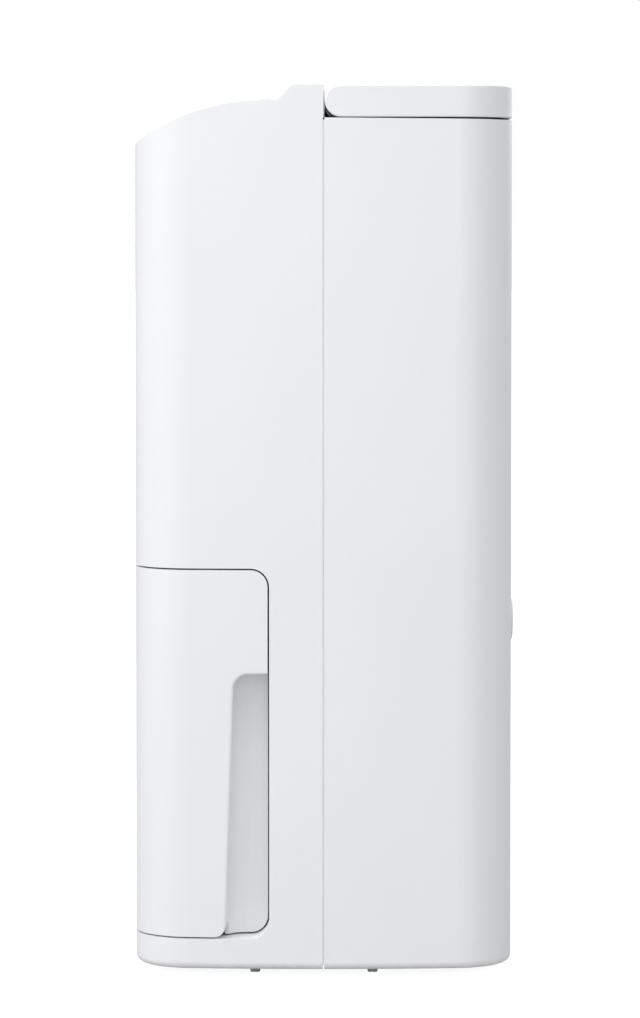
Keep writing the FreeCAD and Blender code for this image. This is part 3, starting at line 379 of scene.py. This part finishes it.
def lit_display():
    """Light-emitting segments behind the smoked window: an even, pale glow."""
    material, tree, shader, place = start_material("Segment_light", "#DDF3FF", 0.5)
    shader.inputs["Emission Strength"].default_value = 1.6
    mottle(tree, shader, place, 2.0, "#E4F6FF", "#CDEBFA", "Emission Color")
    return material


def printed_ink():
    """Pad-printed ink on the button caps: flat mid grey."""
    material, tree, shader, place = start_material("Ink_pad_printed", "#6B7178", 0.5)
    mottle(tree, shader, place, 1.5, "#70767D", "#666C73")
    return material


NODE_SLOT = {part["node"]: part["material_slot"] for part in frame["record"]["subparts"]}


def make_materials(settings):
    """One finish for each of the record's slots."""
    return {
        "white_abs": satin_white_abs(settings),
        "button_abs": button_abs(),
        "grey_abs": satin_grey_abs(),
        "dark_pp": dark_polypropylene(),
        "eps_foam": bead_foam(),
        "acetal": acetal(),
        "clear_pp": translucent_polypropylene(),
        "smoked_acrylic": smoked_acrylic(),
        "steel": zinc_steel(),
        "copper": drawn_copper(),
        "aluminium_fin": rolled_aluminium(),
        "black_enamel": stoved_enamel(),
        "rubber_black": moulded_rubber(),
        "circuit_board": circuit_board(),
        "filter_mesh": woven_nylon(),
    }


MATERIALS = {}


class DehumidifierLooks(bpy.types.PropertyGroup):
    casing_colour: bpy.props.StringProperty(
        name="Casing colour", description="sRGB hex colour of the white casing", default="#F4F4F5")
    thread_pitch: bpy.props.FloatProperty(
        name="Filter thread pitch", description="Spacing of the filter's woven threads",
        default=2.0 * MM, min=0.5 * MM, unit="LENGTH")
    thread_width: bpy.props.FloatProperty(
        name="Filter thread width", description="Width of each thread in the filter",
        default=0.36 * MM, min=0.1 * MM, unit="LENGTH")
    fin_pitch: bpy.props.FloatProperty(
        name="Coil fin pitch", description="Spacing of the coils' fins",
        default=2.4 * MM, min=1.0 * MM, unit="LENGTH")
    key_power: bpy.props.FloatProperty(
        name="Key light", description="Power of the large soft light, in watts",
        default=27.5, min=0.0)
    sky_level: bpy.props.FloatProperty(
        name="Room light", description="Brightness of the room's even light",
        default=0.64, min=0.0)


# Pieces

class DEHUM_OT_finishes(bpy.types.Operator):
    """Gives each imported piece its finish"""
    bl_idname = "dehum.finishes"
    bl_label = "Finishes"

    def execute(self, context):
        MATERIALS.update(make_materials(context.scene.dehum_looks))
        for node, piece in frame["nodes"].items():
            piece.data.materials.clear()
            piece.data.materials.append(MATERIALS[NODE_SLOT[node]])
            smooth(piece)
        return {"FINISHED"}


class DEHUM_OT_air_filter(bpy.types.Operator):
    """Builds the air filter: a moulded lattice frame with woven threads across it"""
    bl_idname = "dehum.air_filter"
    bl_label = "Air Filter"

    def execute(self, context):
        settings = context.scene.dehum_looks
        low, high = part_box("air_filter")
        rim = 4.0 * MM
        half = 0.8 * MM
        columns, rows = 5, 5
        bm = bmesh.new()
        for x0, x1 in ((low.x, low.x + rim), (high.x - rim, high.x)):
            add_block(bm, (x0, low.y, low.z), (x1, high.y, high.z))
        for z0, z1 in ((low.z, low.z + rim), (high.z - rim, high.z)):
            add_block(bm, (low.x + rim, low.y, z0), (high.x - rim, high.y, z1))
        middle = (low.y + high.y) / 2
        for i in range(1, columns):
            x = low.x + (high.x - low.x) * i / columns
            add_block(bm, (x - half, middle - half, low.z + rim),
                      (x + half, middle + half, high.z - rim))
        for j in range(1, rows):
            z = low.z + (high.z - low.z) * j / rows
            add_block(bm, (low.x + rim, middle - half, z - half),
                      (high.x - rim, middle + half, z + half))
        lattice = new_piece("air_filter_frame", mesh_from("air_filter_frame", bm), "filter_cover",
                            MATERIALS["dark_pp"])
        bevel = lattice.modifiers.new("soft_edges", "BEVEL")
        bevel.width = 0.4 * MM
        bevel.segments = 2
        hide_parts("air_filter")
        threads = bmesh.new()
        thin = settings.thread_width / 2
        lift = 0.12 * MM
        # Real threads are about 1 mm apart; they are drawn further apart so that the weave shows.
        across = int((high.x - low.x - 2 * rim) / settings.thread_pitch)
        upward = int((high.z - low.z - 2 * rim) / settings.thread_pitch)
        for i in range(1, across):
            x = low.x + rim + settings.thread_pitch * i
            add_block(threads, (x - thin, middle + lift - thin, low.z + rim),
                      (x + thin, middle + lift + thin, high.z - rim))
        for j in range(1, upward):
            z = low.z + rim + settings.thread_pitch * j
            add_block(threads, (low.x + rim, middle - lift - thin, z - thin),
                      (high.x - rim, middle - lift + thin, z + thin))
        new_piece("air_filter_threads", mesh_from("air_filter_threads", threads), "filter_cover",
                  MATERIALS["filter_mesh"])
        return {"FINISHED"}


class DEHUM_OT_coils(bpy.types.Operator):
    """Builds the evaporator's and condenser's close-set fins"""
    bl_idname = "dehum.coils"
    bl_label = "Coil Fins"

    def execute(self, context):
        pitch = context.scene.dehum_looks.fin_pitch
        for node in ("evaporator_fins", "condenser_fins"):
            low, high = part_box(node)
            bm = bmesh.new()
            count = int((high.x - low.x) / pitch)
            thin = 0.15 * MM
            for i in range(count + 1):
                x = low.x + thin + (high.x - low.x - 2 * thin) * i / count
                add_block(bm, (x - thin / 2, low.y, low.z), (x + thin / 2, high.y, high.z))
            plates = new_piece(node + "_plates", mesh_from(node, bm), "casing",
                               MATERIALS["aluminium_fin"])
            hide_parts(node)
        return {"FINISHED"}


def wheel_profile(radius, half):
    """The (radius, height) outline of a wheel: bored hub, web dished on both faces and rounded tread."""
    bore = 1.6 * MM
    hub = 3.2 * MM
    hub_foot = 3.8 * MM
    rim = 2.0 * MM
    rim_foot = 2.6 * MM
    tread_round = 0.9 * MM
    round_steps = 6
    web = 0.6 * half
    profile = [(bore, -half), (hub, -half), (hub_foot, -web), (radius - rim_foot, -web),
               (radius - rim, -half), (radius - tread_round, -half)]
    for step in range(round_steps + 1):
        angle = math.pi * step / (2 * round_steps)
        profile.append((radius - tread_round + tread_round * math.sin(angle),
                        -half + tread_round * (1 - math.cos(angle))))
    return profile + [(r, -h) for r, h in reversed(profile)]


class DEHUM_OT_casters(bpy.types.Operator):
    """Builds the caster wheels with a rounded tread and a dished hub"""
    bl_idname = "dehum.casters"
    bl_label = "Caster Wheels"

    def execute(self, context):
        for end in ("front", "rear"):
            for side in ("left", "right"):
                node = "caster_wheel_" + end + "_" + side
                low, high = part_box(node)
                centre = (low + high) / 2
                profile = wheel_profile((high.z - low.z) / 2, (high.y - low.y) / 2)
                place = Matrix.Translation(centre) @ Matrix.Rotation(math.pi / 2, 4, "X")
                bm = bmesh.new()
                add_lathe(bm, profile, place, segments=72)
                wheel = new_piece("caster_" + end + "_" + side + "_moulding", mesh_from(node, bm),
                                  body_of_node(node), MATERIALS["acetal"])
                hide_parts(node)
                smooth(wheel, WHEEL_SHARP_ANGLE)
        return {"FINISHED"}


def panel_frame():
    """The panel's directions at the button row: across it, up its slope and outwards."""
    joint = next(j for j in frame["joints"] if j["name"] == "power_button_press")
    out = -Vector(joint["axis"]).normalized()
    across = Vector((1, 0, 0))
    up = out.cross(across).normalized()
    return across, up, out


def button_face(node):
    """The middle of a button's cap on its outer face."""
    out = panel_frame()[2]
    points = [v.co for v in frame["nodes"][node].data.vertices]
    reach = max(point.dot(out) for point in points)
    top = [point for point in points if point.dot(out) > reach - 0.05 * MM]
    return sum(top, Vector()) / len(top)


def add_stroke(bm, points, width, thick, matrix):
    """A flat printed line through the points, as short blocks."""
    for a, b in zip(points, points[1:]):
        a, b = Vector(a), Vector(b)
        along = (b - a).normalized()
        side = Vector((-along.y, along.x)) * width / 2
        base = [a - side, b - side, b + side, a + side]
        lower = [bm.verts.new(matrix @ Vector((p.x, p.y, 0))) for p in base]
        upper = [bm.verts.new(matrix @ Vector((p.x, p.y, thick))) for p in base]
        bm.faces.new(lower[::-1])
        bm.faces.new(upper)
        for i in range(4):
            j = (i + 1) % 4
            bm.faces.new((lower[i], lower[j], upper[j], upper[i]))


def arc_points(radius, start, end, steps):
    angles = [math.radians(start + (end - start) * i / steps) for i in range(steps + 1)]
    return [(radius * math.cos(a), radius * math.sin(a)) for a in angles]


class DEHUM_OT_button_marks(bpy.types.Operator):
    """Prints a plain sign on each button cap"""
    bl_idname = "dehum.button_marks"
    bl_label = "Button Marks"

    def execute(self, context):
        ink = printed_ink()
        across, up, out = panel_frame()
        r = 2.8 * MM
        stroke_width = 0.55 * MM
        ink_depth = 0.04 * MM
        ink_lift = 0.01
        marks = {
            "power_button": [arc_points(r, 125, 415, 20), [(0, 0.5 * MM), (0, 3.4 * MM)]],
            "mode_button": [arc_points(r, 0, 360, 24), [(-1.2 * MM, 0), (1.2 * MM, 0)]],
            "laundry_button": [[(-r, -1.6 * MM), (r, -1.6 * MM), (0, 1.2 * MM), (-r, -1.6 * MM)],
                               [(0, 1.2 * MM), (0, 2.6 * MM), (1.1 * MM, 2.6 * MM)]],
            "timer_button": [arc_points(r, 0, 360, 24), [(0, 2.0 * MM), (0, 0), (1.4 * MM, 0)]],
            "louver_button": [[(-r, -0.9 * MM), (r, -0.9 * MM)], [(-r, -0.9 * MM), (1.6 * MM, 2.2 * MM)]],
        }
        for node, strokes in marks.items():
            place = Matrix.Translation(button_face(node) + out * ink_lift * MM)
            turn = Matrix((across, up, out)).transposed().to_4x4()
            bm = bmesh.new()
            for stroke in strokes:
                add_stroke(bm, stroke, stroke_width, ink_depth, place @ turn)
            new_piece(node + "_mark", mesh_from(node, bm), body_of_node(node), ink)
        return {"FINISHED"}


class DEHUM_OT_display(bpy.types.Operator):
    """Lights two plain digits and a row of dots on the display window"""
    bl_idname = "dehum.display"
    bl_label = "Display"

    def execute(self, context):
        light = lit_display()
        low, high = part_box("display_window")
        centre = (low + high) / 2
        pane = frame["nodes"]["display_window"].data
        edge = 0.3 * MM
        lift = 0.1 * MM
        rear = max(v.co.z for v in pane.vertices if abs(v.co.y - high.y) < edge)
        front = max(v.co.z for v in pane.vertices if abs(v.co.y - low.y) < edge)
        lean = math.atan2(rear - front, high.y - low.y)
        origin = Vector((centre.x, centre.y, (rear + front) / 2 + lift))
        matrix = Matrix.Translation(origin) @ Matrix.Rotation(lean, 4, "X")
        bm = bmesh.new()
        w, h = 2.2 * MM, 3.6 * MM
        digit_shift = 4.2 * MM
        segment_width = 0.75 * MM
        thick = 0.05 * MM
        inset = 0.12
        dots = 4
        dot_start_mm = 16.0
        dot_step_mm = 3.6
        dot_half = 0.5 * MM
        dot_width = 1.0 * MM
        segments = {
            "a": [(-w, h), (w, h)], "b": [(w, h), (w, 0)], "c": [(w, 0), (w, -h)], "d": [(-w, -h), (w, -h)],
            "e": [(-w, 0), (-w, -h)], "f": [(-w, h), (-w, 0)], "g": [(-w, 0), (w, 0)],
        }
        for shift, lit in ((-digit_shift, "afgcd"), (digit_shift, "abcdef")):
            for name in lit:
                (x0, y0), (x1, y1) = segments[name]
                points = [(shift + x0 + (x1 - x0) * inset, y0 + (y1 - y0) * inset),
                          (shift + x1 - (x1 - x0) * inset, y1 - (y1 - y0) * inset)]
                add_stroke(bm, points, segment_width, thick, matrix)
        for index in range(dots):
            x = (dot_start_mm + dot_step_mm * index) * MM
            add_stroke(bm, [(x - dot_half, 0), (x + dot_half, 0)], dot_width, thick, matrix)
        new_piece("display_digits", mesh_from("display_digits", bm), "casing", light)
        return {"FINISHED"}


# Stage

class DEHUM_OT_stage(bpy.types.Operator):
    """Sets the pale floor, the soft lights and the camera"""
    bl_idname = "dehum.stage"
    bl_label = "Stage"

    def execute(self, context):
        settings = context.scene.dehum_looks
        scene = context.scene
        low, high = CAD_BOX
        # One sheet is what the camera sees, nearly white and with only a faint contact shadow. The
        # other, which the camera doesn't see, throws the floor's dimmer light back onto the object.
        paper = self.add_floor(scene, "floor", "Paper_backdrop_matt", "#9C9C9C", 0.93)
        paper.visible_diffuse = False
        paper.visible_glossy = False
        bounce = self.add_floor(scene, "floor_bounce", "Paper_bounce_matt", "#E0E0E0", 0.0)
        bounce.visible_camera = False
        bounce.location.z = -1.0 * MM

        world = bpy.data.worlds.new("studio")
        scene.world = world
        world.use_nodes = True
        nodes = world.node_tree
        room = nodes.nodes["Background"]
        room.inputs["Color"].default_value = to_linear("#FCFDFF")
        room.inputs["Strength"].default_value = settings.sky_level
        backdrop = add_node(nodes, "ShaderNodeBackground",
                            {"Color": to_linear("#FFFFFF"), "Strength": 1.0})
        rays = add_node(nodes, "ShaderNodeLightPath")
        chosen = add_node(nodes, "ShaderNodeMixShader", {}, {0: rays.outputs["Is Camera Ray"],
                                                             1: room.outputs["Background"],
                                                             2: backdrop.outputs["Background"]})
        nodes.links.new(chosen.outputs["Shader"], nodes.nodes["World Output"].inputs["Surface"])

        # Name, offset from the middle of the object, width, and share of the key light's power.
        centre = (low + high) / 2
        for name, offset, size, share in (
                ("key_softbox", (1.3, -2.1, 1.5), 1.4, 1.0),
                ("top_softbox", (0.8, -0.3, 2.2), 1.6, 0.7),
                ("side_fill", (2.8, -0.1, 0.6), 1.6, 0.3),
                ("back_fill", (-2.4, 1.4, 1.0), 1.6, 0.6)):
            self.add_light(scene, name, centre + Vector(offset), centre, size, settings.key_power * share)

        # The side face fills the frame as in a long-lens catalogue shot, with the eye below the top's
        # height and tilted down a little. The scale is the height of one picture row at the side face,
        # and view_z is the height on that face where the picture's middle falls.
        scale = 0.5577 * MM
        distance = 2.3
        pitch = math.radians(2.5)
        eye_z = 0.415
        image_height = 1018
        view_z = 263.6 * MM
        middle_y = -2.0 * MM
        sensor = 36.0
        camera_data = bpy.data.cameras.new("camera")
        camera = bpy.data.objects.new("camera", camera_data)
        scene.collection.objects.link(camera)
        camera_data.sensor_width = sensor
        camera_data.lens = sensor * distance / (image_height * scale)
        camera_data.shift_y = (view_z - (eye_z - distance * math.tan(pitch))) / (image_height * scale)
        camera.location = (high.x + distance, middle_y, eye_z)
        camera.rotation_euler = (math.pi / 2 - pitch, 0, math.pi / 2)
        scene.camera = camera
        scene.view_settings.view_transform = "Standard"
        return {"FINISHED"}

    def add_floor(self, scene, name, material_name, colour, glow):
        reach = 30.0
        mesh = bpy.data.meshes.new(name)
        corners = [(-reach, -reach, 0), (reach, -reach, 0), (reach, reach, 0), (-reach, reach, 0)]
        mesh.from_pydata(corners, [], [(0, 1, 2, 3)])
        floor = bpy.data.objects.new(name, mesh)
        scene.collection.objects.link(floor)
        material, tree, shader, place = start_material(material_name, colour, 0.9)
        grain(tree, shader, place, 3.0, 0.05, 0.1)
        shader.inputs["Emission Color"].default_value = to_linear("#FFFFFF")
        shader.inputs["Emission Strength"].default_value = glow
        mesh.materials.append(material)
        return floor

    def add_light(self, scene, name, place, aim, size, power):
        data = bpy.data.lights.new(name, "AREA")
        data.shape = "DISK"
        data.size = size
        data.energy = power
        light = bpy.data.objects.new(name, data)
        light.location = place
        light.rotation_euler = (aim - place).to_track_quat("-Z", "Y").to_euler()
        scene.collection.objects.link(light)


class DEHUM_PT_panel(bpy.types.Panel):
    """Lists the build steps and the sizes and colours to change"""
    bl_idname = "DEHUM_PT_panel"
    bl_label = "Dehumidifier"
    bl_space_type = "VIEW_3D"
    bl_region_type = "UI"
    bl_category = "Dehumidifier"

    def draw(self, context):
        for name in DehumidifierLooks.__annotations__:
            self.layout.prop(context.scene.dehum_looks, name)
        for operator in OPERATORS:
            self.layout.operator(operator.bl_idname)


OPERATORS = (
    DEHUM_OT_finishes,
    DEHUM_OT_air_filter,
    DEHUM_OT_coils,
    DEHUM_OT_casters,
    DEHUM_OT_button_marks,
    DEHUM_OT_display,
    DEHUM_OT_stage,
)
CLASSES = (DehumidifierLooks, *OPERATORS, DEHUM_PT_panel)


def register():
    for cls in CLASSES:
        bpy.utils.register_class(cls)
    bpy.types.Scene.dehum_looks = bpy.props.PointerProperty(type=DehumidifierLooks)


def unregister():
    del bpy.types.Scene.dehum_looks
    for cls in reversed(CLASSES):
        bpy.utils.unregister_class(cls)


def main():
    register()
    for operator in OPERATORS:
        group, name = operator.bl_idname.split(".")
        getattr(getattr(bpy.ops, group), name)()


if __name__ == "__main__":
    main()
